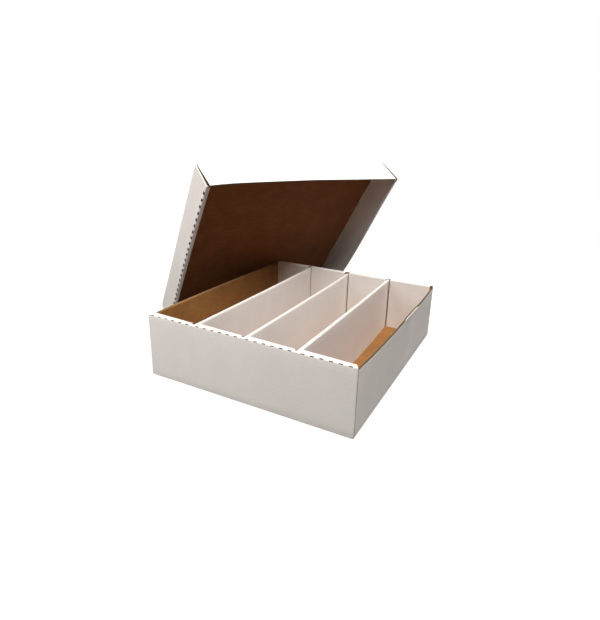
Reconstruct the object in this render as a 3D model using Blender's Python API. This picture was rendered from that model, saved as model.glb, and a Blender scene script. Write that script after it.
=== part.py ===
"""Card storage box: a folded corrugated tray with four card rows, three folded
dividers that lift out, and a lift-off lid that leans open against the tray.

Metres, +Z up. The origin is the centre of the tray's underside, the front is -Y.
"""

from math import cos, pi, radians, sin

import bmesh
import bpy
from mathutils import Euler, Vector

# Corrugated board
BOARD = 0.0028
SEAM = 0.0003
FOLD_RADIUS = 0.0012
FOLD_SEGMENTS = 3
CUT_OVERRUN = 0.002

# Tray, outside sizes
TRAY_WIDTH = 0.355
TRAY_DEPTH = 0.402
TRAY_HEIGHT = 0.105
TRAY_ROLL = 0.0105
TRAY_FLAP_LENGTH = 0.070

# Slots through the tray's rolled ends, which hold the dividers, and the depth of the
# bridge of board that is left between each slot and the outer face
SLOT_WIDTH = 0.010
SLOT_BRIDGE = 0.004

# Lock tabs, corner flaps and the notches under the strips
TAB_WIDTH = 0.022
TAB_LENGTH = BOARD
TAB_PLAY = 0.0004
FLAP_CHAMFER = 0.008
NOTCH_PLAY = 0.001

# Dividers, each one sheet folded in two, and how far each stands off its slot's middle
DIVIDER_LEAF_GAP = 0.0004
DIVIDER_END_PLAY = 0.0008
DIVIDER_DROP = 0.0026
DIVIDER_CROWN_RADIUS = 0.002
DIVIDER_OFFSETS = {"left": -0.0010, "middle": 0.0011, "right": -0.0013}

# Lid, whose depth is the height of its walls
LID_CLEARANCE = 0.0012
LID_DEPTH = 0.054
LID_ROLL = 0.009
LID_FLAP_LENGTH = 0.050

# How the lid leans: on its left wall's rim, with its top panel on the tray's back left corner
LID_LEAN_DEGREES = 34.2
LID_YAW_DEGREES = 25.5
CORNER_ALONG_LID = 0.2615
CONTACT_GAP = 0.0003

# Sizes that follow
ROW_COUNT = len(DIVIDER_OFFSETS) + 1
ROW_PITCH = TRAY_WIDTH / ROW_COUNT
FOOT = BOARD + SEAM
TRAY_SIDE_HEIGHT = TRAY_HEIGHT - FOOT
DIVIDER_THICKNESS = 2 * BOARD + DIVIDER_LEAF_GAP
DIVIDER_LENGTH = TRAY_DEPTH - 2 * (SLOT_BRIDGE + DIVIDER_END_PLAY)
DIVIDER_HEIGHT = TRAY_HEIGHT - DIVIDER_DROP - FOOT
LID_WIDTH = TRAY_WIDTH + 2 * (LID_CLEARANCE + BOARD)
LID_LENGTH = TRAY_DEPTH + 2 * (LID_CLEARANCE + LID_ROLL)

# Colours of the board's two liners
WHITE_LINER = (0.82, 0.80, 0.77, 1.0)
KRAFT_LINER = (0.46, 0.27, 0.12, 1.0)
LINER_ROUGHNESS = 0.85

AXES = "XYZ"
ENDS = {"front": -1, "back": 1}


def clear_scene():
    for old in list(bpy.data.objects):
        bpy.data.objects.remove(old, do_unlink=True)


def board_material(name, colour):
    material = bpy.data.materials.new(name)
    material.use_nodes = True
    shader = material.node_tree.nodes["Principled BSDF"]
    shader.inputs["Base Color"].default_value = colour
    shader.inputs["Roughness"].default_value = LINER_ROUGHNESS
    shader.inputs["Metallic"].default_value = 0.0
    return material


def add_empty(name):
    empty = bpy.data.objects.new(name, None)
    bpy.context.collection.objects.link(empty)
    return empty


def add_object(name, parent, shape, place):
    """Turn a bmesh into a named object that hangs on its parent."""
    bmesh.ops.recalc_face_normals(shape, faces=shape.faces)
    mesh = bpy.data.meshes.new(name)
    shape.to_mesh(mesh)
    shape.free()
    item = bpy.data.objects.new(name, mesh)
    item.parent = parent
    item.location = place
    bpy.context.collection.objects.link(item)
    return item


def lies_on(edge, fold):
    """Whether an edge runs along the line that a fold's two (axis, place) pairs give."""
    reach = SEAM / 2
    return all(
        abs(end.co[AXES.index(axis)] - place) < reach
        for end in edge.verts
        for axis, place in fold
    )


def add_panel(name, parent, colour, outline, across, place, folds=()):
    """Make a flat panel one board thick, centred on its place along the axis across it.

    The outline's points run along the other two axes, in X, Y, Z order.
    """
    normal = AXES.index(across)
    shape = bmesh.new()
    corners = []
    for point in outline:
        corner = list(point)
        corner.insert(normal, -BOARD / 2)
        corners.append(shape.verts.new(corner))
    face = shape.faces.new(corners)
    grown = bmesh.ops.extrude_face_region(shape, geom=[face])["geom"]
    lifted = [item for item in grown if isinstance(item, bmesh.types.BMVert)]
    rise = Vector((0, 0, 0))
    rise[normal] = BOARD
    bmesh.ops.translate(shape, verts=lifted, vec=rise)
    for fold in folds:
        edges = [edge for edge in shape.edges if lies_on(edge, fold)]
        bmesh.ops.bevel(
            shape,
            geom=edges,
            offset=FOLD_RADIUS,
            segments=FOLD_SEGMENTS,
            profile=0.5,
            affect="EDGES",
        )
    panel = add_object(name, parent, shape, place)
    panel.data.materials.append(board_material(name + "_board", colour))
    return panel


def centred_outline(length, width):
    return [
        (-length / 2, -width / 2),
        (length / 2, -width / 2),
        (length / 2, width / 2),
        (-length / 2, width / 2),
    ]


def standing_outline(length, height):
    return [(-length / 2, 0), (length / 2, 0), (length / 2, height), (-length / 2, height)]


def notched_outline(length, height, shoulder, shoulder_height):
    """A side wall, cut down at both ends where the rolled ends' strips pass over it."""
    half = length / 2
    return [
        (-half, 0),
        (half, 0),
        (half, shoulder_height),
        (shoulder, shoulder_height),
        (shoulder, height),
        (-shoulder, height),
        (-shoulder, shoulder_height),
        (-half, shoulder_height),
    ]


def tab_middles(length, tab_count):
    return [length * ((index + 0.5) / tab_count - 0.5) for index in range(tab_count)]


def tabbed_outline(length, height, tab_count):
    """An inner end panel with lock tabs under its foot."""
    points = [(length / 2, height), (-length / 2, height), (-length / 2, 0)]
    for middle in tab_middles(length, tab_count):
        left = middle - TAB_WIDTH / 2
        right = middle + TAB_WIDTH / 2
        points += [(left, 0), (left, -TAB_LENGTH), (right, -TAB_LENGTH), (right, 0)]
    points.append((length / 2, 0))
    return points


def flap_outline(length, height, inward):
    """A corner flap that starts at its side wall and has a chamfered free end."""
    tip = inward * length
    neck = inward * (length - FLAP_CHAMFER)
    return [
        (0, 0),
        (neck, 0),
        (tip, FLAP_CHAMFER),
        (tip, height - FLAP_CHAMFER),
        (neck, height),
        (0, height),
    ]


def spans_between_slots(limit, slot_middles):
    """Left and right sides of the panels that leave the slots open, out to a limit."""
    lefts = [-limit] + [middle + SLOT_WIDTH / 2 for middle in slot_middles]
    rights = [middle - SLOT_WIDTH / 2 for middle in slot_middles] + [limit]
    return list(zip(lefts, rights))


def numbered(name, number, count):
    return name + f"_{number}" if count > 1 else name


def cut_tab_slots(base, parent, shell, spans):
    """Cut the slots that the inner end panels' tabs lock into."""
    shape = bmesh.new()
    slot_length = TAB_WIDTH + 2 * TAB_PLAY
    slot_width = BOARD + 2 * TAB_PLAY
    slot_depth = BOARD + 2 * CUT_OVERRUN
    for outward in ENDS.values():
        row = outward * (shell["length"] / 2 - shell["roll"] + BOARD / 2)
        for left, right in spans:
            for middle in tab_middles(right - left, shell["tab_count"]):
                cube = bmesh.ops.create_cube(shape, size=1)["verts"]
                bmesh.ops.scale(shape, vec=(slot_length, slot_width, slot_depth), verts=cube)
                place = ((left + right) / 2 + middle, row, 0)
                bmesh.ops.translate(shape, vec=place, verts=cube)
    cutter = add_object(base.name + "_cutter", parent, shape, base.location)
    cutter.hide_render = True
    cutter.display_type = "WIRE"
    cut = base.modifiers.new("tab_slots", "BOOLEAN")
    cut.operation = "DIFFERENCE"
    cut.solver = "EXACT"
    cut.object = cutter


def add_top_strips(shell, parent, end):
    """The roll's top between the slots, and the bridges that close the slots' outer ends."""
    name = shell["name"] + "_" + end
    outward = ENDS[end]
    roll = shell["roll"]
    face = outward * shell["length"] / 2
    level = shell["height"] - BOARD / 2
    spans = spans_between_slots(shell["width"] / 2, shell["slot_middles"])
    folds = [[("Y", side * roll / 2), ("Z", BOARD / 2)] for side in (-1, 1)]
    for number, (left, right) in enumerate(spans, start=1):
        strip = centred_outline(right - left, roll)
        place = ((left + right) / 2, face - outward * roll / 2, level)
        strip_name = numbered(name + shell["strip_suffix"], number, len(spans))
        add_panel(strip_name, parent, WHITE_LINER, strip, "Z", place, folds)

    bridge = centred_outline(SLOT_WIDTH - 2 * SEAM, SLOT_BRIDGE)
    bridge_fold = [("Y", outward * SLOT_BRIDGE / 2), ("Z", BOARD / 2)]
    for number, middle in enumerate(shell["slot_middles"], start=1):
        place = (middle, face - outward * SLOT_BRIDGE / 2, level)
        bridge_name = f"{name}_slot_bridge_{number}"
        add_panel(bridge_name, parent, WHITE_LINER, bridge, "Z", place, [bridge_fold])


def add_rolled_end(shell, parent, end, spans):
    """Outer wall, inner panels and the corner flaps between them."""
    name = shell["name"] + "_" + end
    outward = ENDS[end]
    width = shell["width"]
    height = shell["height"]
    roll = shell["roll"]
    face = outward * shell["length"] / 2
    inner_height = height - 2 * FOOT

    wall_place = (0, face - outward * BOARD / 2, 0)
    wall_fold = [("Y", outward * BOARD / 2), ("Z", 0)]
    wall = standing_outline(width, height - FOOT)
    add_panel(name + "_wall", parent, WHITE_LINER, wall, "Y", wall_place, [wall_fold])

    for number, (left, right) in enumerate(spans, start=1):
        panel = tabbed_outline(right - left, inner_height, shell["tab_count"])
        panel_place = ((left + right) / 2, face - outward * (roll - BOARD / 2), FOOT)
        panel_name = numbered(name + "_inner_panel", number, len(spans))
        add_panel(panel_name, parent, WHITE_LINER, panel, "Y", panel_place)

    for side, direction in shell["sides"].items():
        flap = flap_outline(shell["flap_length"], inner_height, -direction)
        flap_place = (
            direction * (width / 2 - FOOT),
            face - outward * (FOOT + BOARD / 2),
            FOOT,
        )
        flap_name = name + "_" + side + "_corner_flap"
        add_panel(flap_name, parent, WHITE_LINER, flap, "Y", flap_place)


def add_shell(shell, parent):
    """Fold up one blank: a base, two single side walls and two rolled ends."""
    spans = spans_between_slots(shell["width"] / 2 - FOOT, shell["slot_middles"])
    base_outline = centred_outline(shell["width"] - 2 * FOOT, shell["length"] - 2 * FOOT)
    base_name = shell["name"] + shell["base_suffix"]
    base_place = (0, 0, BOARD / 2)
    base = add_panel(base_name, parent, shell["base_colour"], base_outline, "Z", base_place)
    cut_tab_slots(base, parent, shell, spans)

    wall_length = shell["length"] - 2 * FOOT
    wall_height = shell["side_height"]
    shoulder_height = shell["height"] - FOOT
    if wall_height > shoulder_height:
        shoulder = shell["length"] / 2 - shell["roll"] - NOTCH_PLAY
        wall = notched_outline(wall_length, wall_height, shoulder, shoulder_height)
    else:
        wall = standing_outline(wall_length, wall_height)
    for side, direction in shell["sides"].items():
        place = (direction * (shell["width"] - BOARD) / 2, 0, 0)
        fold = [("X", direction * BOARD / 2), ("Z", 0)]
        name = shell["name"] + "_" + side + "_wall"
        add_panel(name, parent, WHITE_LINER, wall, "X", place, [fold])

    for end in ENDS:
        add_rolled_end(shell, parent, end, spans)
        add_top_strips(shell, parent, end)


def crown(direction):
    """One rounded upper corner of a divider, from its outer face to its top."""
    middle = direction * (DIVIDER_THICKNESS / 2 - DIVIDER_CROWN_RADIUS)
    base = DIVIDER_HEIGHT - DIVIDER_CROWN_RADIUS
    points = []
    for step in range(FOLD_SEGMENTS + 1):
        angle = pi / 2 * step / FOLD_SEGMENTS
        across = middle + direction * DIVIDER_CROWN_RADIUS * cos(angle)
        points.append((across, base + DIVIDER_CROWN_RADIUS * sin(angle)))
    return points


def add_divider(side, offset, slot_middle, parent):
    """One sheet folded over its top edge, standing on the floor between two rows."""
    half = DIVIDER_THICKNESS / 2
    slit = DIVIDER_LEAF_GAP / 2
    slit_top = DIVIDER_HEIGHT - BOARD
    profile = [(-half, 0), (-slit, 0), (-slit, slit_top), (slit, slit_top), (slit, 0), (half, 0)]
    profile += crown(1)
    profile += reversed(crown(-1))
    shape = bmesh.new()
    start = [shape.verts.new((x, -DIVIDER_LENGTH / 2, z)) for x, z in profile]
    face = shape.faces.new(start)
    grown = bmesh.ops.extrude_face_region(shape, geom=[face])["geom"]
    moved = [item for item in grown if isinstance(item, bmesh.types.BMVert)]
    bmesh.ops.translate(shape, verts=moved, vec=(0, DIVIDER_LENGTH, 0))
    name = "divider_" + side
    divider = add_object(name, parent, shape, (slot_middle + offset, 0, FOOT))
    divider.data.materials.append(board_material(name + "_board", WHITE_LINER))


def lean_lid(frame):
    """Stand the lid on its left wall's rim and lean its top panel on the tray's corner."""
    lean = radians(LID_LEAN_DEGREES)
    turn = Euler((0, pi / 2 + lean, -radians(LID_YAW_DEGREES)))
    rise = LID_WIDTH / 2 * cos(lean) + LID_DEPTH * sin(lean)
    contact_depth = BOARD + CONTACT_GAP
    contact = Vector((
        (rise - contact_depth * sin(lean) - TRAY_HEIGHT) / cos(lean),
        CORNER_ALONG_LID - LID_LENGTH / 2,
        contact_depth,
    ))
    contact.rotate(turn)
    corner = Vector((-TRAY_WIDTH / 2, TRAY_DEPTH / 2, TRAY_HEIGHT))
    frame.rotation_euler = turn
    frame.location = corner - contact


def main():
    clear_scene()
    slot_middles = [ROW_PITCH * number - TRAY_WIDTH / 2 for number in range(1, ROW_COUNT)]
    tray_frame = add_empty("tray_frame")
    tray = {
        "name": "tray",
        "base_suffix": "_floor",
        "strip_suffix": "_top_strip",
        "base_colour": KRAFT_LINER,
        "width": TRAY_WIDTH,
        "length": TRAY_DEPTH,
        "height": TRAY_HEIGHT,
        "side_height": TRAY_SIDE_HEIGHT,
        "roll": TRAY_ROLL,
        "flap_length": TRAY_FLAP_LENGTH,
        "slot_middles": slot_middles,
        "tab_count": 1,
        "sides": {"left": -1, "right": 1},
    }
    add_shell(tray, tray_frame)
    for (side, offset), slot_middle in zip(DIVIDER_OFFSETS.items(), slot_middles):
        add_divider(side, offset, slot_middle, tray_frame)

    lid_frame = add_empty("lid_frame")
    lid = {
        "name": "lid",
        "base_suffix": "_top_panel",
        "strip_suffix": "_rim_strip",
        "base_colour": WHITE_LINER,
        "width": LID_WIDTH,
        "length": LID_LENGTH,
        "height": LID_DEPTH,
        "side_height": LID_DEPTH,
        "roll": LID_ROLL,
        "flap_length": LID_FLAP_LENGTH,
        "slot_middles": [],
        "tab_count": 2,
        "sides": {"left": 1, "right": -1},
    }
    add_shell(lid, lid_frame)
    lean_lid(lid_frame)


main()
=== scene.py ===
"""Card storage box, dressed: every panel is folded corrugated board, with its liners and
its fluted core as real layers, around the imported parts.

Metres, +Z up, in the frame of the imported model.
"""

from bisect import bisect_right
from math import ceil, copysign, cos, pi, radians, sin, sqrt

import bmesh
import bpy
from mathutils import Euler, Matrix, Vector, noise


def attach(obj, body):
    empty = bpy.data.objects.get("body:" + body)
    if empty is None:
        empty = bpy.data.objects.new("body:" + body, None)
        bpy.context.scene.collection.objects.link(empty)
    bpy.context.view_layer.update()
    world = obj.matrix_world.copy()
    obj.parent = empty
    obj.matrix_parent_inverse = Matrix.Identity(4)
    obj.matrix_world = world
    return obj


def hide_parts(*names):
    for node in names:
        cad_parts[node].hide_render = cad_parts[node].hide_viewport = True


# Corrugated board and its layers
BOARD = 0.0028
LINER = 0.0003
CORE_PAPER = 0.00022
CORE_PLAY = 0.00001
FLUTE_PITCH = 0.0065
STEPS_PER_FLUTE = 10
SEAM = 0.0003
JOIN = 0.00005
FOLD_RADIUS = 0.0012
TRAY_RIM_RADIUS = 0.0022
LID_RIM_RADIUS = 0.0034
INNER_FOLD_RADIUS = 0.0001
FOLD_STEPS = 5

# Tray, outside sizes
TRAY_WIDTH = 0.355
TRAY_DEPTH = 0.402
TRAY_HEIGHT = 0.105
TRAY_ROLL = 0.0105
TRAY_FLAP_LENGTH = 0.070

# Slots through the tray's rolled ends
SLOT_WIDTH = 0.010
SLOT_BRIDGE = 0.004

# The taper at both ends of the tray's front strip, towards its inner fold
STRIP_TAPER = 0.0052
TAPER_REACH = 0.008
TAPER_DROP = 0.012

# How far the strips' slots stand open beside the dividers, on the left and on the right
SLOT_LEFT_PLAY = 0.0006
SLOT_RIGHT_PLAYS = {"front": (0.0008, 0.0008, 0.0008), "back": (0.0016, 0.0026, 0.0028)}

# Lock tabs, with their count between two slots, corner flaps and the side walls' notches
TRAY_TABS_PER_STRETCH = 1
LID_TABS_PER_STRETCH = 2
TAB_WIDTH = 0.022
TAB_PLAY = 0.0004
FLAP_CHAMFER = 0.008
TRAY_FLAP_DROP = 0.012
LID_FLAP_DROP = 0.018
NOTCH_PLAY = 0.001

# The gap left at the tray's back corners, beside and under the strip's ends
CORNER_GAP_WIDTH = 0.0015
CORNER_GAP_HEIGHT = 0.004

# Cut dashes along the outer top fold of each rolled end, and the bulge between them
DASH_PITCH = 0.0138
DASH_LENGTH = 0.0060
DASHES_PER_ROW = 6
LID_DASH_COUNT = 25
TRAY_DASH_SHARES = (0.25, 0.72)
LID_DASH_SHARES = (-0.5, 0.62)
SCALLOP_BULGE = 0.0003

# How the ends of a rolled wall are rounded where they were cut
EDGE_RADIUS = 0.002
EDGE_PRESS_SHARE = 0.48
EDGE_STEP_SHARES = (0.0, 0.4, 0.7, 0.85, 0.95)

# Dividers
DIVIDER_LEAF_GAP = 0.0004
DIVIDER_END_PLAY = 0.0008
DIVIDER_DROP = 0.0026
DIVIDER_CROWN_RADIUS = 0.002
LEAF_SPREAD = 0.0045

# How far each divider stands beside its slots' middle, bows, and rises and shifts to its back end
DIVIDER_OFFSETS = {"left": -0.0010, "middle": 0.0011, "right": -0.0013}
DIVIDER_BOWS = {"left": 0.0005, "middle": -0.0004, "right": 0.0005}
DIVIDER_RISES = {"left": 0.0004, "middle": -0.0004, "right": 0.0016}
DIVIDER_BACK_SHIFTS = {"left": -0.0030, "middle": -0.0054, "right": -0.0012}
BACK_SHIFT_POWER = 3

# Lid and how it leans
LID_CLEARANCE = 0.0012
LID_DEPTH = 0.054
LID_ROLL = 0.009
LID_FLAP_LENGTH = 0.050
LID_LEAN_DEGREES = 34.2
LID_YAW_DEGREES = 25.5
CORNER_ALONG_LID = 0.2615
CONTACT_GAP = 0.0003

# How far the lid's rims stand out of true
LID_END_SPLAY = 0.0029
LID_FRONT_BOW = 0.0022
LID_BACK_BOW = 0.0105
LID_BACK_PEAK_SHARE = 0.72
LID_PINCH = 0.0021
PINCH_START = 0.030
LID_RIM_BOW = 0.0051
LID_RIM_DRAW = 0.0012
LID_RIM_POWER = 6
BOW_POWER = 1.6

# The bulge of the tray's side walls, and the slant of their cut rims
TRAY_BULGE = 0.0040
BULGE_POWER = 3
BULGE_RISE_POWER = 1.4
RIGHT_BEVEL = 0.0014
LEFT_BEVEL = 0.0005
BEVEL_HEIGHT = 0.002
LEFT_PRESS_SHARE = 0.6

# How far each stretch of the tray's front strip is twisted
FRONT_STRIP_TWIST = 0.001

# The crushed stretch of the tray's right rim
CRUSH_START = -0.010
CRUSH_END = 0.082
CRUSH_EASE = 0.020
CRUSH_HEIGHT = 0.0048
CRUSH_STEPS = 5
CRUSH_SHARE = 0.45
CRUSH_SWELL_SHARE = 0.18
CRUSH_DRAW = 0.0014

# Slow waviness of the paper, and the height over which it sets in above the ground
WAVE_SIZE = 0.00018
WAVES_PER_METRE = 9.0
RIPPLE_SIZE = 0.00005
RIPPLES_PER_METRE = 45.0
GROUND_EASE = 0.010
WAVE_SEED = 1

# Spacing of the grids' lines, the decimals of their marks, and the angle up to which faces blend
PANEL_STEP = 0.012
CORE_STEP = 0.030
MARK_DECIMALS = 6
SMOOTH_DEGREES = 40.0

# Sizes that follow
ROW_COUNT = len(DIVIDER_OFFSETS) + 1
ROW_PITCH = TRAY_WIDTH / ROW_COUNT
FOOT = BOARD + SEAM
TRAY_SIDE_HEIGHT = TRAY_HEIGHT - FOOT
DIVIDER_THICKNESS = 2 * BOARD + DIVIDER_LEAF_GAP
DIVIDER_LENGTH = TRAY_DEPTH - 2 * (SLOT_BRIDGE + DIVIDER_END_PLAY)
DIVIDER_HEIGHT = TRAY_HEIGHT - DIVIDER_DROP - FOOT
LID_WIDTH = TRAY_WIDTH + 2 * (LID_CLEARANCE + BOARD)
LID_LENGTH = TRAY_DEPTH + 2 * (LID_CLEARANCE + LID_ROLL)
LINER_SHARE = LINER / BOARD
CORE_HALF_SHARE = CORE_PAPER / BOARD / 2
CORE_SWING_SHARE = 0.5 - LINER_SHARE - CORE_HALF_SHARE - CORE_PLAY / BOARD

# Which material each face of a layer has: outer face, inner face, cut edge
WHITE, KRAFT, CORE, CUT = range(4)
OUTER_SKINS = (WHITE, CORE, CUT)
CORE_SKINS = (CORE, CORE, CORE)
INNER_SKINS = (CORE, KRAFT, CORE)
WHOLE_SKINS = (WHITE, KRAFT, CORE)

# Colours of the papers
WHITE_PALE = (0.870, 0.818, 0.782)
WHITE_DEEP = (0.830, 0.778, 0.742)
WHITE_FIBRE = (0.77, 0.715, 0.67)
WHITE_SPECK = (0.46, 0.38, 0.29)
# The flute paper: its own brown, darkened and greyed partly as painted shade for the open flutes at
# cut edges
CORE_PALE = (0.34, 0.25, 0.165)
CORE_DEEP = (0.26, 0.19, 0.125)
CORE_FIBRE = (0.19, 0.135, 0.09)
CUT_PALE = (0.72, 0.66, 0.58)
CUT_DEEP = (0.50, 0.37, 0.24)

# Pale and deep colours of the kraft liners, inside the tray and inside the lid; the lid's are the
# same board painted darker and redder, as painted shade for the lid's shaded inside
TRAY_KRAFT = ((0.375, 0.170, 0.051), (0.30, 0.134, 0.040))
LID_SHADED_KRAFT = ((0.28, 0.098, 0.028), (0.225, 0.078, 0.022))
DARK_STRAND_SHARE = 0.72

# Each paper's patches: how many to a metre, their detail, and the noise that gives 0 and 1
WHITE_CLOUDS = (26.0, 4.0, 0.32, 0.68)
WHITE_FIBRES = (520.0, 3.0, 0.35, 0.65)
WHITE_SPECKS = (900.0, 1.0, 0.70, 0.78)
KRAFT_CLOUDS = (22.0, 5.0, 0.34, 0.66)
KRAFT_SPECKS = (640.0, 1.0, 0.66, 0.76)
CORE_CLOUDS = (90.0, 4.0, 0.3, 0.7)
CORE_FIBRES = (900.0, 2.0, 0.35, 0.65)
CUT_FRAYS = (260.0, 4.0, 0.40, 0.62)
PATCH_ROUGHNESS = 0.6

# The kraft's strands are such patches, one to each unit of coordinates stretched along Y
KRAFT_STRANDS = (1.0, 3.0, 0.36, 0.66)
STRANDS_PER_METRE = (520.0, 55.0, 520.0)

# How strongly fibres, strands and specks tint the papers
WHITE_FIBRE_SHARE = 0.22
WHITE_SPECK_SHARE = 0.22
KRAFT_STRAND_SHARE = 0.45
KRAFT_SPECK_SHARE = 0.65
CORE_FIBRE_SHARE = 0.35

# How much of the liners' relief the flutes' ribs give, and the fibres or strands
RIB_RELIEF_SHARE = 0.5
WHITE_RELIEF_SHARE = 0.35
KRAFT_RELIEF_SHARE = 0.5

# Each paper's finish: least and most roughness, strength and depth of its relief, specular level
WHITE_FINISH = (0.58, 0.72, 0.30, 0.0001, 0.35)
KRAFT_FINISH = (0.74, 0.90, 0.40, 0.0001, 0.25)
CORE_FINISH = (0.82, 0.95, 0.30, 0.00005, 0.20)
CUT_FINISH = (0.78, 0.92, 0.40, 0.0001, 0.25)

# Sockets of Blender's mix node that carry colours
MIX_COLOUR_INPUTS = (6, 7)
MIX_COLOUR_OUTPUT = 2

# Floor and background, and how the floor near the object fades into the white
FLOOR_HALF = 6.0
FLOOR_DROP = 0.0003
FLOOR_COLOUR = (0.12, 0.119, 0.118)
SEEN_FLOOR_COLOUR = (0.5, 0.5, 0.5)
SEEN_FLOOR_GLOW = 0.62
FADE_START = 0.6
FADE_END = 1.6
BACKGROUND_COLOUR = (1.0, 1.0, 1.0)
BACKGROUND_STRENGTH = 1.0
AMBIENT_STRENGTH = 0.04

# Distances, sizes and colours of the lamps, and what they are aimed at
LAMP_DISTANCE = 2.4
LAMP_SIZE = 1.1
NEAR_LAMP_DISTANCE = 1.0
NEAR_LAMP_SIZE = 0.5
NEUTRAL = (1.0, 1.0, 0.985)
WARM = (1.0, 0.93, 0.85)
AIM_HEIGHT = 0.08
BOX_MIDDLE = Vector((0, 0, AIM_HEIGHT))
NEAR_CORNER = Vector((TRAY_WIDTH / 2, -TRAY_DEPTH / 2, TRAY_HEIGHT / 2))

# Each lamp: its aim, azimuth from the front, elevation, distance, size, watts and colour
LAMPS = {
    "high_lamp": (BOX_MIDDLE, 45, 65, LAMP_DISTANCE, LAMP_SIZE, 58.0, NEUTRAL),
    "right_lamp": (BOX_MIDDLE, 90, 60, LAMP_DISTANCE, LAMP_SIZE, 10.0, WARM),
    "low_left_lamp": (BOX_MIDDLE, -45, 20, LAMP_DISTANCE, LAMP_SIZE, 7.5, WARM),
    "left_lamp": (BOX_MIDDLE, -90, 20, LAMP_DISTANCE, LAMP_SIZE, 4.5, WARM),
    "near_lamp": (NEAR_CORNER, -45, 35, NEAR_LAMP_DISTANCE, NEAR_LAMP_SIZE, 3.6, NEUTRAL),
    "back_lamp": (BOX_MIDDLE, -160, 40, LAMP_DISTANCE, LAMP_SIZE, 26.0, NEUTRAL),
}

# Photographed view, in pixels and degrees; the sensor is in millimetres, as Blender takes it
IMAGE_WIDTH = 600
IMAGE_HEIGHT = 620
FOCAL_PIXELS = 463.89
VIEW_CENTRE_X = 308
VIEW_CENTRE_Y = 291
SENSOR_WIDTH = 36.0
CAMERA_PLACE = (0.35432, -0.69304, 0.37512)
CAMERA_AZIMUTH = 26.951
CAMERA_PITCH = 18.248
CAMERA_ROLL = 1.733

ENDS = {"front": -1, "back": 1}
LEFT = Vector((-1, 0))
RIGHT = Vector((1, 0))
UP = Vector((0, 1))
DOWN = Vector((0, -1))


def ease(share):
    """A smooth step from 0 to 1."""
    share = min(1.0, max(0.0, share))
    return share * share * (3 - 2 * share)


def stations(low, high, step, extra=()):
    """Sorted distances from low to high, at most a step apart, with the extra ones among them."""
    kept = [value for value in extra if low + JOIN < value < high - JOIN]
    inside = {round(value, MARK_DECIMALS) for value in kept}
    fixed = [low, *sorted(inside), high]
    result = []
    for start, end in zip(fixed, fixed[1:]):
        count = ceil((end - start) / step)
        result += [start + (end - start) * index / count for index in range(count)]
    result.append(high)
    return result


class Path:
    """A folded line through the board, kept as matching points on its two faces."""

    def __init__(self, outer, inner):
        self.outer = [Vector(outer)]
        self.inner = [Vector(inner)]
        self.distances = [0.0]

    def run_to(self, outer, inner):
        """Run straight to a point and give the distance there."""
        outer = Vector(outer)
        inner = Vector(inner)
        run = ((outer - self.outer[-1]).length + (inner - self.inner[-1]).length) / 2
        self.outer.append(outer)
        self.inner.append(inner)
        self.distances.append(self.distances[-1] + run)
        return self.distances[-1]

    def fold(self, outer, inner, before, after, radius=FOLD_RADIUS):
        """Turn a corner and give the distances where the fold starts and ends."""
        reached = []
        for index in range(FOLD_STEPS + 1):
            angle = pi / 2 * index / FOLD_STEPS
            rest = before * (sin(angle) - 1) + after * (1 - cos(angle))
            outer_point = Vector(outer) + rest * radius
            inner_point = Vector(inner) + rest * INNER_FOLD_RADIUS
            reached.append(self.run_to(outer_point, inner_point))
        return reached[0], reached[-1]

    def at(self, distance, depth):
        """The point at a distance along the path and a share of the way through the board."""
        last = len(self.distances) - 2
        index = min(last, max(0, bisect_right(self.distances, distance) - 1))
        start = self.distances[index]
        share = (distance - start) / (self.distances[index + 1] - start)
        outer = self.outer[index].lerp(self.outer[index + 1], share)
        inner = self.inner[index].lerp(self.inner[index + 1], share)
        return outer.lerp(inner, depth)


def everywhere(row, column):
    """Board all over, for a sheet without cuts."""
    return True


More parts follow.
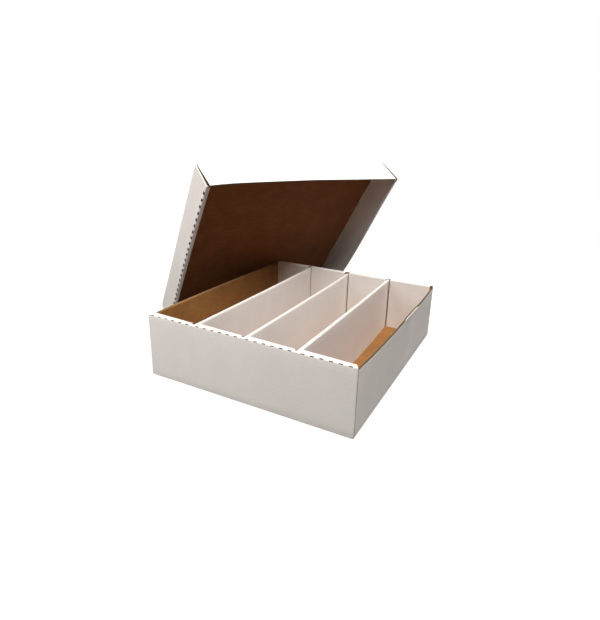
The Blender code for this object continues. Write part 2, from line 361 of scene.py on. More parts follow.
class Sheet:
    """Points and faces of one piece of board, gathered layer by layer."""

    def __init__(self):
        self.points = []
        self.faces = []
        self.skins = []
        self.along = []

    def add_layer(self, rows, columns, place, depths, is_board, skins):
        """Add one closed layer over a grid, between two depths through the board.

        Rows run across the flutes and columns along them. place gives the point at a row, a
        column and a depth, depths gives a row's outer and inner depth, and is_board tells
        whether there is board at a cell's middle.
        """
        made = {}

        def corner(spot, side):
            if (spot, side) not in made:
                made[spot, side] = len(self.points)
                row = rows[spot[0]]
                self.points.append(place(row, columns[spot[1]], depths(row)[side]))
                self.along.append(row)
            return made[spot, side]

        cells = [(i, j) for i in range(len(rows) - 1) for j in range(len(columns) - 1)]
        solid = set()
        for i, j in cells:
            if is_board((rows[i] + rows[i + 1]) / 2, (columns[j] + columns[j + 1]) / 2):
                solid.add((i, j))
        for i, j in cells:
            if (i, j) not in solid:
                continue
            ring = [(i, j), (i + 1, j), (i + 1, j + 1), (i, j + 1)]
            beside = [(i, j - 1), (i + 1, j), (i, j + 1), (i - 1, j)]
            self.add_face([corner(spot, 0) for spot in ring], skins[0])
            self.add_face([corner(spot, 1) for spot in reversed(ring)], skins[1])
            for start, end, neighbour in zip(ring, ring[1:] + ring[:1], beside):
                if neighbour not in solid:
                    side = [corner(end, 0), corner(start, 0), corner(start, 1), corner(end, 1)]
                    self.add_face(side, skins[2])

    def add_face(self, corners, skin):
        self.faces.append(corners)
        self.skins.append(skin)

    def add_liners(self, rows, columns, place, is_board=everywhere):
        """Add the two flat papers that face the board."""

        def outer(row):
            return 0.0, LINER_SHARE

        def inner(row):
            return 1 - LINER_SHARE, 1.0

        self.add_layer(rows, columns, place, outer, is_board, OUTER_SKINS)
        self.add_layer(rows, columns, place, inner, is_board, INNER_SKINS)

    def add_core(self, low, high, columns, place, is_board=everywhere, extra=()):
        """Add the wavy paper between the liners."""

        def wavy(row):
            middle = 0.5 + CORE_SWING_SHARE * sin(2 * pi * row / FLUTE_PITCH)
            return middle - CORE_HALF_SHARE, middle + CORE_HALF_SHARE

        rows = stations(low, high, FLUTE_PITCH / STEPS_PER_FLUTE, extra)
        self.add_layer(rows, columns, place, wavy, is_board, CORE_SKINS)

    def add_whole(self, rows, columns, place, is_board):
        """Add board whose cut edges nobody sees as one solid layer."""

        def whole(row):
            return 0.0, 1.0

        self.add_layer(rows, columns, place, whole, is_board, WHOLE_SKINS)


def wavy_paper(point):
    """Move a point a little, as paper is never quite flat, but keep it off the ground."""
    slow = noise.noise_vector(point * WAVES_PER_METRE) * WAVE_SIZE
    quick = noise.noise_vector(point * RIPPLES_PER_METRE) * RIPPLE_SIZE
    shift = slow + quick
    shift.z *= ease(point.z / GROUND_EASE)
    return point + shift


def make_piece(name, sheet, matrix, body, replaced, materials):
    """Turn a sheet into a named piece that rides its body and stands for its CAD nodes."""
    mesh = bpy.data.meshes.new(name)
    mesh.from_pydata(sheet.points, [], sheet.faces)
    along = mesh.attributes.new("along", "FLOAT", "POINT")
    along.data.foreach_set("value", sheet.along)
    mesh.polygons.foreach_set("material_index", sheet.skins)
    mesh.polygons.foreach_set("use_smooth", [True] * len(sheet.faces))
    for material in materials:
        mesh.materials.append(material)
    shape = bmesh.new()
    shape.from_mesh(mesh)
    bmesh.ops.recalc_face_normals(shape, faces=shape.faces)
    shape.to_mesh(mesh)
    shape.free()
    mesh.set_sharp_from_angle(angle=radians(SMOOTH_DEGREES))
    piece = bpy.data.objects.new(name, mesh)
    bpy.context.scene.collection.objects.link(piece)
    piece.matrix_world = matrix
    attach(piece, body)
    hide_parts(*replaced)


def spans_between_slots(limit, slot_middles):
    """Left and right sides of the panels that leave the slots open, out to a limit."""
    lefts = [-limit] + [middle + SLOT_WIDTH / 2 for middle in slot_middles]
    rights = [middle - SLOT_WIDTH / 2 for middle in slot_middles] + [limit]
    return list(zip(lefts, rights))


def tab_spans(shell):
    """Left and right sides of each lock tab of a rolled end."""
    found = []
    for left, right in spans_between_slots(shell["width"] / 2 - FOOT, shell["slot_middles"]):
        length = right - left
        for index in range(shell["tabs_per_stretch"]):
            middle = left + length * (index + 0.5) / shell["tabs_per_stretch"]
            found.append((middle - TAB_WIDTH / 2, middle + TAB_WIDTH / 2))
    return found


def inside_any(value, spans):
    return any(low < value < high for low, high in spans)


def ends_of(spans):
    return [value for span in spans for value in span]


def numbered(name, count):
    """The names of a count of nodes alike: a lone one has no number."""
    return [f"{name}_{number}" for number in range(1, count + 1)] if count > 1 else [name]


def rolled_nodes(shell, end):
    """The CAD nodes that the sheet of a rolled end stands for."""
    name = shell["name"] + "_" + end
    slot_count = len(shell["slots"][end])
    nodes = [name + "_wall"]
    nodes += numbered(name + shell["strip_suffix"], slot_count + 1)
    nodes += numbered(name + "_inner_panel", slot_count + 1)
    if slot_count:
        nodes += numbered(name + "_slot_bridge", slot_count)
    return nodes


def make_rolled_end(shell, end, materials):
    """One sheet from the floor's edge up the outer wall, over the top and down inside."""
    width = shell["width"]
    height = shell["height"]
    roll = shell["roll"]
    outward = ENDS[end]
    face = shell["length"] / 2
    splay = shell["splays"][end]
    twist = shell["strip_twists"][end]
    taper = shell["strip_tapers"][end]
    pinch = shell["pinch"]
    rim_radius = shell["rim_radius"]

    path = Path((FOOT - JOIN, 0), (FOOT - JOIN, BOARD))
    path.fold((0, 0), (BOARD, BOARD), LEFT, UP)
    inner_top = (BOARD, height - BOARD)
    top_start, top_end = path.fold((0, height), inner_top, UP, RIGHT, rim_radius)
    inner_corner = (roll - BOARD, height - BOARD)
    strip_end, inner_end = path.fold((roll, height), inner_corner, RIGHT, DOWN)
    panel_foot = path.run_to((roll, FOOT), (roll - BOARD, FOOT))
    tab_foot = path.run_to((roll, SEAM), (roll - BOARD, SEAM))

    strip_share = (SLOT_BRIDGE - rim_radius) / (roll - rim_radius - FOLD_RADIUS)
    slot_start = top_end + (strip_end - top_end) * strip_share
    trim_share = max(0.0, (FOOT - rim_radius) / (roll - rim_radius - FOLD_RADIUS))
    trim_start = top_end + (strip_end - top_end) * trim_share
    panel_share = (BOARD - FOLD_RADIUS) / (height - FOLD_RADIUS - FOOT)
    panel_top = inner_end + (panel_foot - inner_end) * panel_share
    panel_per_metre = (panel_foot - inner_end) / (height - FOLD_RADIUS - FOOT)
    gap = shell["corner_gaps"][end]
    gap_foot = panel_top + gap.y * panel_per_metre
    low_share, high_share = shell["dash_shares"]
    dash_low = top_start + (top_end - top_start) * low_share
    dash_high = top_start + (top_end - top_start) * high_share

    slots = shell["slots"][end]
    tabs = tab_spans(shell)
    middles = shell["dash_middles"]
    dashes = [(middle - DASH_LENGTH / 2, middle + DASH_LENGTH / 2) for middle in middles]
    narrow = width / 2 - FOOT
    gap_side = narrow - gap.x
    slot_centres = [(left + right) / 2 for left, right in slots]
    twist_ends = [-width / 2, *slot_centres, width / 2]

    def is_board(along, across):
        if along > panel_foot:
            return inside_any(across, tabs)
        if along > panel_top and abs(across) > (gap_side if along < gap_foot else narrow):
            return False
        if along > slot_start and inside_any(across, slots):
            return False
        if gap.y > 0 and trim_start < along < gap_foot and abs(across) > gap_side:
            return False
        return not (dash_low < along < dash_high and inside_any(across, dashes))

    def bulge(along, across):
        """How far the fold swells between two cut dashes."""
        share = 1 - abs((along - top_start) / (top_end - top_start) * 2 - 1)
        if share <= 0:
            return 0.0
        nearest = min(abs(across - middle) for middle in middles)
        swell = ease((nearest - DASH_LENGTH / 2) / (DASH_PITCH - DASH_LENGTH) * 2)
        return SCALLOP_BULGE * swell * ease(share)

    def twisted(across):
        """How far the inner edge of a stretch of strip is raised, from its left end to its right."""
        index = bisect_right(slot_centres, across)
        left, right = twist_ends[index:index + 2]
        return twist * (left + right - 2 * across) / (right - left)

    def place(along, across, depth):
        rim = max(0.0, 1 - (width / 2 - abs(across)) / EDGE_RADIUS)
        depth += (1 - depth) * EDGE_PRESS_SHARE * (1 - sqrt(1 - min(1.0, rim * rim)))
        inward, level = path.at(along, depth)
        folded_in = path.at(along, 0.0).x / roll
        near_end = max(0.0, 1 - (width / 2 - abs(across)) / TAPER_REACH)
        drawn_in = taper * near_end * folded_in * (1 - ease((height - level) / TAPER_DROP))
        across -= copysign(drawn_in, across)
        swell = bulge(along, across)
        level += swell
        inward -= swell
        rise = level / height
        lean = splay(across) * rise
        inward -= pinch * folded_in * ease((level - PINCH_START) / (height - PINCH_START))
        freed = max(0.0, (folded_in * roll - SLOT_BRIDGE) / (roll - SLOT_BRIDGE))
        level += (lean / height * roll * folded_in + twisted(across) * freed) * rise
        return wavy_paper(Vector((across, outward * (face - inward + lean), level)))

    bridge_marks = [
        middle + side * (DASH_LENGTH / 2 + share * (DASH_PITCH - DASH_LENGTH) / 2)
        for middle in middles
        for side in (-1, 1)
        for share in (0.5, 1)
    ]
    rims = [width / 2 - EDGE_RADIUS * (1 - share) for share in EDGE_STEP_SHARES]
    side_marks = (width / 2 - TAPER_REACH, gap_side, narrow, *rims)
    both_sides = [side * value for side in (-1, 1) for value in side_marks]
    marks = ends_of(slots) + ends_of(tabs) + ends_of(dashes) + bridge_marks + both_sides
    columns = stations(-width / 2, width / 2, PANEL_STEP, marks)
    levels = [*path.distances, slot_start, trim_start, panel_top, gap_foot, dash_low, dash_high]
    rows = stations(0, tab_foot, PANEL_STEP, levels)

    sheet = Sheet()
    sheet.add_liners(rows, columns, place, is_board)
    bands = [
        (0, dash_low, []),
        (dash_low, dash_high, ends_of(dashes)),
        (dash_high, trim_start, []),
        (trim_start, slot_start, [-gap_side, gap_side]),
        (slot_start, panel_top, ends_of(slots) + [-gap_side, gap_side]),
        (panel_top, gap_foot, ends_of(slots) + [-gap_side, gap_side]),
        (gap_foot, panel_foot, ends_of(slots) + [-narrow, narrow]),
        (panel_foot, tab_foot, ends_of(tabs)),
    ]
    for low, high, cuts in bands:
        core_columns = stations(-width / 2, width / 2, CORE_STEP, cuts)
        sheet.add_core(low, high, core_columns, place, is_board)

    name = f"{shell['name']}_{end}_roll"
    matrix = shell["matrix"]
    replaced = rolled_nodes(shell, end)
    make_piece(name, sheet, matrix, shell["name"], replaced, materials)


def make_side(shell, side, materials):
    """A single side wall, folded up from the floor's edge, with its cut rim showing flutes."""
    height = shell["side_height"]
    length = shell["length"]
    direction = shell["sides"][side]
    half = length / 2 - FOOT
    shoulders = {
        end: length / 2 - shell["roll"] - NOTCH_PLAY - shell["corner_gaps"][end].x for end in ENDS
    }
    rim_shift = shell["rim_shifts"][side]
    bevel = shell["rim_bevels"][side]

    path = Path((FOOT - JOIN, 0), (FOOT - JOIN, BOARD))
    path.fold((0, 0), (BOARD, BOARD), LEFT, UP)
    start = path.distances[-1]
    rim = path.run_to((0, height), (BOARD, height))
    per_metre = (rim - start) / (height - FOLD_RADIUS)
    notches = {end: rim - shell["notch_depths"][end] * per_metre for end in ENDS}
    crush_levels = [
        rim - CRUSH_HEIGHT * per_metre * index / CRUSH_STEPS for index in range(CRUSH_STEPS + 1)
    ]

    def is_board(along, up):
        end = "front" if along < 0 else "back"
        return abs(along) < shoulders[end] or up < notches[end]

    def place(along, up, depth):
        inward, level = path.at(up, depth)
        inward += rim_shift(along, level, depth)
        # A bevel above zero sinks the outer liner, one below zero the inner liner
        sunk = bevel * (1 - depth) if bevel > 0 else -bevel * depth
        level -= sunk * max(0.0, 1 - (height - level) / BEVEL_HEIGHT)
        return wavy_paper(Vector((direction * (shell["width"] / 2 - inward), along, level)))

    shoulder_marks = [ENDS[end] * shoulder for end, shoulder in shoulders.items()]
    rows = stations(-half, half, PANEL_STEP / 2, shoulder_marks)
    columns = stations(0, rim, PANEL_STEP, [*path.distances, *notches.values(), *crush_levels])
    sheet = Sheet()
    sheet.add_liners(rows, columns, place, is_board)
    core_marks = [*notches.values(), *crush_levels]
    core_columns = stations(start, rim - CORE_PLAY, CORE_STEP, core_marks)
    sheet.add_core(-half, half, core_columns, place, is_board, shoulder_marks)
    name = shell["name"] + "_" + side
    matrix = shell["matrix"]
    replaced = [name + "_wall"]
    make_piece(name + "_side", sheet, matrix, shell["name"], replaced, materials)


def make_base(shell, materials):
    """The floor of a shell, white below and kraft above, with the slots for the lock tabs."""
    half_width = shell["width"] / 2 - FOOT
    half_length = shell["length"] / 2 - FOOT
    slot_middle = shell["length"] / 2 - shell["roll"] + BOARD / 2
    slot_half = BOARD / 2 + TAB_PLAY
    slot_rows = (slot_middle - slot_half, slot_middle + slot_half)
    tab_slots = [(left - TAB_PLAY, right + TAB_PLAY) for left, right in tab_spans(shell)]

    def is_board(along, across):
        in_row = slot_rows[0] < abs(along) < slot_rows[1]
        return not (in_row and inside_any(across, tab_slots))

    def place(along, across, depth):
        return wavy_paper(Vector((across, along, BOARD * depth)))

    row_marks = [sign * level for sign in (-1, 1) for level in slot_rows]
    rows = stations(-half_length, half_length, PANEL_STEP, row_marks)
    columns = stations(-half_width, half_width, PANEL_STEP, ends_of(tab_slots))
    sheet = Sheet()
    sheet.add_whole(rows, columns, place, is_board)
    matrix = shell["matrix"]
    replaced = [shell["name"] + shell["base_suffix"]]
    name = shell["name"] + "_base"
    make_piece(name, sheet, matrix, shell["name"], replaced, materials)


def make_corner_flap(shell, end, side, materials):
    """A flap from a side wall, held inside the rolled end."""
    outward = ENDS[end]
    direction = shell["sides"][side]
    length = shell["flap_length"]
    height = shell["height"]
    flap_height = height - 2 * FOOT - shell["flap_drop"]
    splay = shell["splays"][end]

    def place(along, share, depth):
        trim = max(0.0, along - (length - FLAP_CHAMFER))
        level = FOOT + trim + share * (flap_height - 2 * trim)
        across = direction * (shell["width"] / 2 - FOOT - along)
        lean = splay(across) * level / height
        inward = FOOT + BOARD * depth - lean
        return wavy_paper(Vector((across, outward * (shell["length"] / 2 - inward), level)))

    rows = stations(0, length, PANEL_STEP, [length - FLAP_CHAMFER])
    columns = stations(0, 1, PANEL_STEP / height)
    sheet = Sheet()
    sheet.add_liners(rows, columns, place)
    sheet.add_core(0, length, columns, place)
    name = f"{shell['name']}_{end}_{side}"
    matrix = shell["matrix"]
    replaced = [name + "_corner_flap"]
    make_piece(name + "_flap", sheet, matrix, shell["name"], replaced, materials)


def make_divider(side, slot_middle, materials):
    """One sheet folded in two over its top edge, whose leaves spread apart at their feet."""
    half = DIVIDER_THICKNESS / 2
    slit = DIVIDER_LEAF_GAP / 2
    top = FOOT + DIVIDER_HEIGHT
    under = top - BOARD
    bow = DIVIDER_BOWS[side]
    rise = DIVIDER_RISES[side]
    back_shift = DIVIDER_BACK_SHIFTS[side]
    middle = slot_middle + DIVIDER_OFFSETS[side]
    path = Path((-half, FOOT), (-slit, FOOT))
    path.fold((-half, top), (-slit, under), UP, RIGHT, DIVIDER_CROWN_RADIUS)
    path.fold((half, top), (slit, under), RIGHT, DOWN, DIVIDER_CROWN_RADIUS)
    foot = path.run_to((half, FOOT), (slit, FOOT))

    def place(along, over, depth):
        across, level = path.at(over, depth)
        arch = cos(pi * along / DIVIDER_LENGTH)
        height_share = (level - FOOT) / DIVIDER_HEIGHT
        spread = LEAF_SPREAD if across > 0 else -LEAF_SPREAD
        across += arch * (bow + spread * (1 - height_share))
        length_share = along / DIVIDER_LENGTH + 0.5
        across += back_shift * length_share ** BACK_SHIFT_POWER
        level += rise * length_share * height_share
        return wavy_paper(Vector((middle + across, along, level)))

    rows = stations(-DIVIDER_LENGTH / 2, DIVIDER_LENGTH / 2, PANEL_STEP)
    columns = stations(0, foot, PANEL_STEP, path.distances)
    sheet = Sheet()
    sheet.add_liners(rows, columns, place)
    core_columns = stations(0, foot, CORE_STEP, path.distances)
    sheet.add_core(-DIVIDER_LENGTH / 2, DIVIDER_LENGTH / 2, core_columns, place)
    name = "divider_" + side
    make_piece(name + "_board", sheet, Matrix(), name, [name], materials)


def make_shell(shell, materials):
    """All the panels of the tray or the lid."""
    make_base(shell, materials)
    for side in shell["sides"]:
        make_side(shell, side, materials)
    for end in ENDS:
        make_rolled_end(shell, end, materials)
        for side in shell["sides"]:
            make_corner_flap(shell, end, side, materials)


def lid_matrix():
    """Where the lid leans: on its left wall's rim, against the tray's back left corner."""
    lean = radians(LID_LEAN_DEGREES)
    turn = Euler((0, pi / 2 + lean, -radians(LID_YAW_DEGREES)))
    rise = LID_WIDTH / 2 * cos(lean) + LID_DEPTH * sin(lean)
    contact_depth = BOARD + CONTACT_GAP
    contact = Vector((
        (rise - contact_depth * sin(lean) - TRAY_HEIGHT) / cos(lean),
        CORNER_ALONG_LID - LID_LENGTH / 2,
        contact_depth,
    ))
    contact.rotate(turn)
    corner = Vector((-TRAY_WIDTH / 2, TRAY_DEPTH / 2, TRAY_HEIGHT))
    return Matrix.Translation(corner - contact) @ turn.to_matrix().to_4x4()


def no_splay(across):
    """For a rolled end that stands upright."""
    return 0.0


def front_splay(across):
    """How far the lid's front roll leans out, a little more in its middle."""
    share = 2 * across / LID_WIDTH
    return LID_END_SPLAY + LID_FRONT_BOW * (1 - share * share)


def back_splay(across):
    """How far the lid's back roll leans out, most of all in its lower half."""
    share = across / LID_WIDTH + 0.5
    bow = LID_BACK_BOW * ease(share / LID_BACK_PEAK_SHARE)
    fall = ease((share - LID_BACK_PEAK_SHARE) / (1 - LID_BACK_PEAK_SHARE))
    return LID_END_SPLAY + bow * (1 - fall)


def straight_rim(along, level, depth):
    """The lid's lower rim, on which it leans."""
    return 0.0


def bulged_rim(along, level):
    """How far the tray's side walls bulge outward, most of all at their rims' middles."""
    share = abs(2 * along / TRAY_DEPTH)
    rise = max(0.0, level / TRAY_SIDE_HEIGHT)
    return -TRAY_BULGE * (1 - share ** BULGE_POWER) * rise ** BULGE_RISE_POWER


def pressed_rim(along, level, depth):
    """The tray's left rim, where the cut has pressed the inner liner towards the outer one."""
    rise = max(0.0, 1 - (TRAY_SIDE_HEIGHT - level) / BEVEL_HEIGHT)
    return bulged_rim(along, level) - BOARD * LEFT_PRESS_SHARE * rise * rise * depth


def crushed_rim(along, level, depth):
    """The tray's right rim, whose outer liner is pressed in along one stretch."""
    reach = ease((along - CRUSH_START) / CRUSH_EASE) * ease((CRUSH_END - along) / CRUSH_EASE)
    rise = max(0.0, 1 - (TRAY_SIDE_HEIGHT - level) / CRUSH_HEIGHT)
    press = BOARD * (CRUSH_SHARE * rise * rise - CRUSH_SWELL_SHARE * sin(pi * rise))
    drawn = bulged_rim(along, level) * (1 - CRUSH_DRAW / TRAY_BULGE * reach)
    return drawn + press * reach * (1 - depth)


def bowed_rim(along, level, depth):
    """The lid's upper rim, which bows outward between its corners, more steeply at the front."""
    across = 2 * along / LID_LENGTH
    bow = LID_RIM_BOW * (1 - across)
    if across < 0:
        swell = LID_RIM_BOW - LID_RIM_DRAW
        bow = LID_RIM_DRAW + swell * (1 - across ** LID_RIM_POWER)
    return -bow * (level / LID_DEPTH) ** BOW_POWER


def make_tray(materials):
    """The tray with its dividers."""
    slot_middles = [ROW_PITCH * number - TRAY_WIDTH / 2 for number in range(1, ROW_COUNT)]
    row_middles = [ROW_PITCH * (number + 0.5) - TRAY_WIDTH / 2 for number in range(ROW_COUNT)]
    dash_middles = [
        row_middle + DASH_PITCH * (number - (DASHES_PER_ROW - 1) / 2)
        for row_middle in row_middles
        for number in range(DASHES_PER_ROW)
    ]
    half_thickness = DIVIDER_THICKNESS / 2
    divider_middles = [
        slot_middle + offset for slot_middle, offset in zip(slot_middles, DIVIDER_OFFSETS.values())
    ]
    divider_ends = {
        "front": divider_middles,
        "back": [
            middle + shift for middle, shift in zip(divider_middles, DIVIDER_BACK_SHIFTS.values())
        ],
    }
    slots = {
        end: [
            (middle - half_thickness - SLOT_LEFT_PLAY, middle + half_thickness + right_play)
            for middle, right_play in zip(divider_ends[end], SLOT_RIGHT_PLAYS[end])
        ]
        for end in ENDS
    }
    tray = {
        "name": "tray",
        "base_suffix": "_floor",
        "strip_suffix": "_top_strip",
        "width": TRAY_WIDTH,
        "length": TRAY_DEPTH,
        "height": TRAY_HEIGHT,
        "side_height": TRAY_SIDE_HEIGHT,
        "roll": TRAY_ROLL,
        "flap_length": TRAY_FLAP_LENGTH,
        "flap_drop": TRAY_FLAP_DROP,
        "notch_depths": {"front": 0.0, "back": CORNER_GAP_HEIGHT},
        "corner_gaps": {
            "front": Vector((0.0, 0.0)),
            "back": Vector((CORNER_GAP_WIDTH, CORNER_GAP_HEIGHT)),
        },
        "slot_middles": slot_middles,
        "slots": slots,
        "dash_middles": dash_middles,
        "rim_radius": TRAY_RIM_RADIUS,
        "dash_shares": TRAY_DASH_SHARES,
        "tabs_per_stretch": TRAY_TABS_PER_STRETCH,
        "sides": {"left": -1, "right": 1},
        "rim_shifts": {"left": pressed_rim, "right": crushed_rim},
        "rim_bevels": {"left": -LEFT_BEVEL, "right": RIGHT_BEVEL},
        "splays": {"front": no_splay, "back": no_splay},
        "strip_twists": {"front": FRONT_STRIP_TWIST, "back": 0.0},
        "strip_tapers": {"front": STRIP_TAPER, "back": 0.0},
        "pinch": 0.0,
        "matrix": Matrix(),
    }
    make_shell(tray, materials)
    for side, slot_middle in zip(DIVIDER_OFFSETS, slot_middles):
        make_divider(side, slot_middle, materials)


def make_lid(materials):
    """The lid, whose left wall's rim is the one that it leans on."""
    dash_middles = [
        DASH_PITCH * (number - (LID_DASH_COUNT - 1) / 2) for number in range(LID_DASH_COUNT)
    ]
    lid = {
        "name": "lid",
        "base_suffix": "_top_panel",
        "strip_suffix": "_rim_strip",
        "width": LID_WIDTH,
        "length": LID_LENGTH,
        "height": LID_DEPTH,
        "side_height": LID_DEPTH,
        "roll": LID_ROLL,
        "flap_length": LID_FLAP_LENGTH,
        "flap_drop": LID_FLAP_DROP,
        "notch_depths": {"front": 0.0, "back": 0.0},
        "corner_gaps": {"front": Vector((0.0, BOARD)), "back": Vector((0.0, BOARD))},
        "slot_middles": [],
        "slots": {"front": [], "back": []},
        "dash_middles": dash_middles,
        "rim_radius": LID_RIM_RADIUS,
        "dash_shares": LID_DASH_SHARES,
        "tabs_per_stretch": LID_TABS_PER_STRETCH,
        "sides": {"left": 1, "right": -1},
        "rim_shifts": {"left": straight_rim, "right": bowed_rim},
        "rim_bevels": {"left": 0.0, "right": 0.0},
        "splays": {"front": front_splay, "back": back_splay},
        "strip_twists": {"front": 0.0, "back": 0.0},
        "strip_tapers": {"front": 0.0, "back": 0.0},
        "pinch": LID_PINCH,
        "matrix": lid_matrix(),
    }
    make_shell(lid, materials)


def set_input(tree, socket, value):
    """Link an input to a socket, or give it a plain value."""
    if isinstance(value, bpy.types.NodeSocket):
        tree.links.new(value, socket)
    else:
        socket.default_value = value


def add_node(tree, kind, inputs=None, **settings):
    """Add a shader node with its settings and its inputs, each a socket or a plain value."""
    made = tree.nodes.new(kind)
    for name, value in settings.items():
        setattr(made, name, value)
    for name, value in (inputs or {}).items():
        set_input(tree, made.inputs[name], value)
    return made


def start_material(name):
    """A new material with its tree, its first shader and the coordinates on the piece."""
    material = bpy.data.materials.new(name)
    material.use_nodes = True
    tree = material.node_tree
    place = add_node(tree, "ShaderNodeTexCoord").outputs["Object"]
    return material, tree, tree.nodes["Principled BSDF"], place


def patches(tree, coordinates, per_metre, detail, low, high):
    """Soft cloudy patches from 0 to 1."""
    cloud = add_node(
        tree,
        "ShaderNodeTexNoise",
        {"Vector": coordinates, "Scale": per_metre, "Detail": detail, "Roughness": PATCH_ROUGHNESS},
    )
    spread = add_node(
        tree,
        "ShaderNodeMapRange",
        {"Value": cloud.outputs["Fac"], "From Min": low, "From Max": high},
    )
    return spread.outputs["Result"]


def mixed(tree, share, first, second):
    """A colour between two, each a socket or red, green and blue."""
    mix = add_node(tree, "ShaderNodeMix", {"Factor": share}, data_type="RGBA")
    for index, colour in zip(MIX_COLOUR_INPUTS, (first, second)):
        opaque = (*colour, 1.0) if isinstance(colour, tuple) else colour
        set_input(tree, mix.inputs[index], opaque)
    return mix.outputs[MIX_COLOUR_OUTPUT]


def calculated(tree, operation, first, second=0.0):
    """The result of one step of arithmetic."""
    step = add_node(tree, "ShaderNodeMath", {0: first, 1: second}, operation=operation)
    return step.outputs["Value"]


def overlaid(tree, colour, patch, share, added):
    """A colour with another laid over it, at a share of its strength, where a patch shows."""
    return mixed(tree, calculated(tree, "MULTIPLY", patch, share), colour, added)


def liner_relief(tree, grain, grain_share):
    """The faint ribs that the flutes press through a liner, with its own grain on them."""
    along = add_node(tree, "ShaderNodeAttribute", attribute_name="along")
    turns = calculated(tree, "MULTIPLY", along.outputs["Fac"], 2 * pi / FLUTE_PITCH)
    ribs = calculated(tree, "MULTIPLY", calculated(tree, "SINE", turns), RIB_RELIEF_SHARE)
    return calculated(tree, "ADD", ribs, calculated(tree, "MULTIPLY", grain, grain_share))


def finish_paper(tree, shader, colour, grain, relief, finish):
    """Give a paper its colour, a roughness that follows its grain, its relief and its gloss."""
    smoothest, roughest, strength, depth, specular = finish
    rough = add_node(
        tree, "ShaderNodeMapRange", {"Value": grain, "To Min": smoothest, "To Max": roughest}
    )
    bump = add_node(
        tree, "ShaderNodeBump", {"Height": relief, "Strength": strength, "Distance": depth}
    )
    tree.links.new(colour, shader.inputs["Base Color"])
    tree.links.new(rough.outputs["Result"], shader.inputs["Roughness"])
    tree.links.new(bump.outputs["Normal"], shader.inputs["Normal"])
    shader.inputs["Specular IOR Level"].default_value = specular


def white_liner():
    """The white paper outside, with cloudy tints, fine fibres and rare brown specks."""
    material, tree, shader, place = start_material("white_liner")
    clouds = patches(tree, place, *WHITE_CLOUDS)
    fibres = patches(tree, place, *WHITE_FIBRES)
    specks = patches(tree, place, *WHITE_SPECKS)
    colour = mixed(tree, clouds, WHITE_PALE, WHITE_DEEP)
    colour = overlaid(tree, colour, fibres, WHITE_FIBRE_SHARE, WHITE_FIBRE)
    colour = overlaid(tree, colour, specks, WHITE_SPECK_SHARE, WHITE_SPECK)
    relief = liner_relief(tree, fibres, WHITE_RELIEF_SHARE)
    finish_paper(tree, shader, colour, clouds, relief, WHITE_FINISH)
    return material


def kraft_liner(name, pale, deep):
    """The brown paper inside, with dark strands and specks."""
    material, tree, shader, place = start_material(name)
    stretched = add_node(
        tree, "ShaderNodeMapping", {"Vector": place, "Scale": STRANDS_PER_METRE}
    ).outputs["Vector"]
    clouds = patches(tree, place, *KRAFT_CLOUDS)
    strands = patches(tree, stretched, *KRAFT_STRANDS)
    specks = patches(tree, place, *KRAFT_SPECKS)
    dark = tuple(DARK_STRAND_SHARE * part for part in deep)
    colour = mixed(tree, clouds, pale, deep)
    colour = overlaid(tree, colour, strands, KRAFT_STRAND_SHARE, dark)
    colour = overlaid(tree, colour, specks, KRAFT_SPECK_SHARE, dark)
    relief = liner_relief(tree, strands, KRAFT_RELIEF_SHARE)
    finish_paper(tree, shader, colour, strands, relief, KRAFT_FINISH)
    return material


def shaded_core_paper():
    """The raw paper of the flutes, darkened and greyed beyond its own colour partly as painted shade
    for the open flutes.
    """
    material, tree, shader, place = start_material("shaded_core_paper")
    clouds = patches(tree, place, *CORE_CLOUDS)
    fibres = patches(tree, place, *CORE_FIBRES)
    colour = mixed(tree, clouds, CORE_PALE, CORE_DEEP)
    colour = overlaid(tree, colour, fibres, CORE_FIBRE_SHARE, CORE_FIBRE)
    finish_paper(tree, shader, colour, fibres, fibres, CORE_FINISH)
    return material


def cut_paper():
    """The cut edge of the white liner, pale with brown showing through."""
    material, tree, shader, place = start_material("cut_paper")
    frays = patches(tree, place, *CUT_FRAYS)
    colour = mixed(tree, frays, CUT_PALE, CUT_DEEP)
    finish_paper(tree, shader, colour, frays, frays, CUT_FINISH)
    return material


def seen_directly(tree):
    """1 for the camera's own rays and those that mirrors or glass pass on, else 0."""
    rays = add_node(tree, "ShaderNodeLightPath").outputs
    seen = calculated(tree, "MAXIMUM", rays["Is Camera Ray"], rays["Is Glossy Ray"])
    return calculated(tree, "MAXIMUM", seen, rays["Is Transmission Ray"])


def mixed_shaders(tree, share, first, second):
    """The first shader where the share is 0, the second where it is 1."""
    inputs = {0: share, 1: first.outputs[0], 2: second.outputs[0]}
    return add_node(tree, "ShaderNodeMixShader", inputs)


def floor_paint():
    """A pale floor that fades into the white background away from the object."""
    material, tree, shader, place = start_material("studio_floor")
    tree.nodes.remove(shader)
    plain = add_node(tree, "ShaderNodeBsdfDiffuse", {"Color": (*FLOOR_COLOUR, 1.0)})
    shaded = add_node(tree, "ShaderNodeBsdfDiffuse", {"Color": (*SEEN_FLOOR_COLOUR, 1.0)})
    glow = add_node(tree, "ShaderNodeEmission", {"Strength": SEEN_FLOOR_GLOW})
    near = add_node(tree, "ShaderNodeAddShader", {0: shaded.outputs[0], 1: glow.outputs[0]})
    white = add_node(tree, "ShaderNodeEmission", {"Strength": BACKGROUND_STRENGTH})
    reach = add_node(tree, "ShaderNodeVectorMath", {0: place}, operation="LENGTH")
    away = add_node(
        tree,
        "ShaderNodeMapRange",
        {"Value": reach.outputs["Value"], "From Min": FADE_START, "From Max": FADE_END},
        interpolation_type="SMOOTHSTEP",
    )
    faded = mixed_shaders(tree, away.outputs["Result"], near, white)
    shown = mixed_shaders(tree, seen_directly(tree), plain, faded)
    tree.links.new(shown.outputs[0], tree.nodes["Material Output"].inputs["Surface"])
    return material


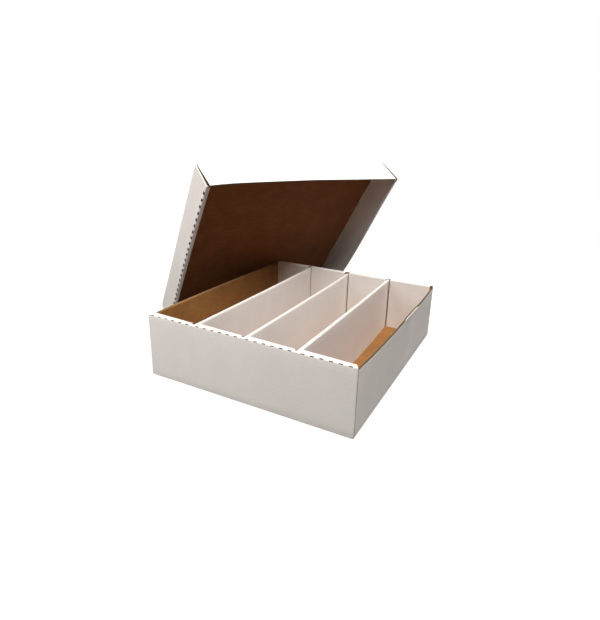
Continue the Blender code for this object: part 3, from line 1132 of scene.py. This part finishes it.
def make_floor():
    mesh = bpy.data.meshes.new("studio_floor")
    corners = [(-1, -1), (1, -1), (1, 1), (-1, 1)]
    points = [(x * FLOOR_HALF, y * FLOOR_HALF, -FLOOR_DROP) for x, y in corners]
    mesh.from_pydata(points, [], [(0, 1, 2, 3)])
    mesh.materials.append(floor_paint())
    floor = bpy.data.objects.new("studio_floor", mesh)
    bpy.context.scene.collection.objects.link(floor)


def light_world():
    """A white background to the eye, which lights the object only faintly."""
    world = bpy.data.worlds.new("studio")
    bpy.context.scene.world = world
    world.use_nodes = True
    tree = world.node_tree
    background = tree.nodes["Background"]
    background.inputs["Color"].default_value = (*BACKGROUND_COLOUR, 1.0)
    strength = add_node(
        tree,
        "ShaderNodeMapRange",
        {
            "Value": seen_directly(tree),
            "To Min": AMBIENT_STRENGTH,
            "To Max": BACKGROUND_STRENGTH,
        },
    )
    tree.links.new(strength.outputs["Result"], background.inputs["Strength"])


def make_lamps():
    for name, (target, azimuth, elevation, distance, size, power, colour) in LAMPS.items():
        around = radians(azimuth)
        rise = radians(elevation)
        away = Vector((sin(around) * cos(rise), -cos(around) * cos(rise), sin(rise)))
        lamp = bpy.data.lights.new(name, "AREA")
        lamp.shape = "SQUARE"
        lamp.size = size
        lamp.energy = power
        lamp.color = colour
        item = bpy.data.objects.new(name, lamp)
        bpy.context.scene.collection.objects.link(item)
        item.location = target + away * distance
        item.rotation_euler = away.to_track_quat("Z", "Y").to_euler()


def make_camera():
    """The camera as photographed, its sensor shifted to the photograph's framing."""
    data = bpy.data.cameras.new("camera")
    data.sensor_fit = "HORIZONTAL"
    data.sensor_width = SENSOR_WIDTH
    data.lens = FOCAL_PIXELS * SENSOR_WIDTH / IMAGE_WIDTH
    data.shift_x = (IMAGE_WIDTH / 2 - VIEW_CENTRE_X) / IMAGE_WIDTH
    data.shift_y = (VIEW_CENTRE_Y - IMAGE_HEIGHT / 2) / IMAGE_WIDTH
    camera = bpy.data.objects.new("camera", data)
    bpy.context.scene.collection.objects.link(camera)
    turn = Matrix.Rotation(radians(CAMERA_AZIMUTH), 4, "Z")
    tilt = Matrix.Rotation(pi / 2 - radians(CAMERA_PITCH), 4, "X")
    roll = Matrix.Rotation(radians(CAMERA_ROLL), 4, "Z")
    camera.matrix_world = Matrix.Translation(CAMERA_PLACE) @ turn @ tilt @ roll
    bpy.context.scene.camera = camera


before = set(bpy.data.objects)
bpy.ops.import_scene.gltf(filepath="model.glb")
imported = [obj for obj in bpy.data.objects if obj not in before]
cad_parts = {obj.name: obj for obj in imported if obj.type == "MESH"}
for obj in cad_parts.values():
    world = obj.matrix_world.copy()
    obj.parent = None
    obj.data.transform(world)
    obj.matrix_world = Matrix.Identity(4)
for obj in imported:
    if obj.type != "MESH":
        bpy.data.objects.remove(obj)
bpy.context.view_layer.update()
bpy.context.scene.view_settings.view_transform = "Standard"
make_camera()
light_world()
make_lamps()
make_floor()
noise.seed_set(WAVE_SEED)
white = white_liner()
# The flute paper's colour holds painted shade for the open flutes
raw_edges = [shaded_core_paper(), cut_paper()]
make_tray([white, kraft_liner("tray_kraft", *TRAY_KRAFT), *raw_edges])
# The lid's kraft is a darker, redder copy of the tray's: painted shade
make_lid([white, kraft_liner("lid_kraft_painted_shade", *LID_SHADED_KRAFT), *raw_edges])
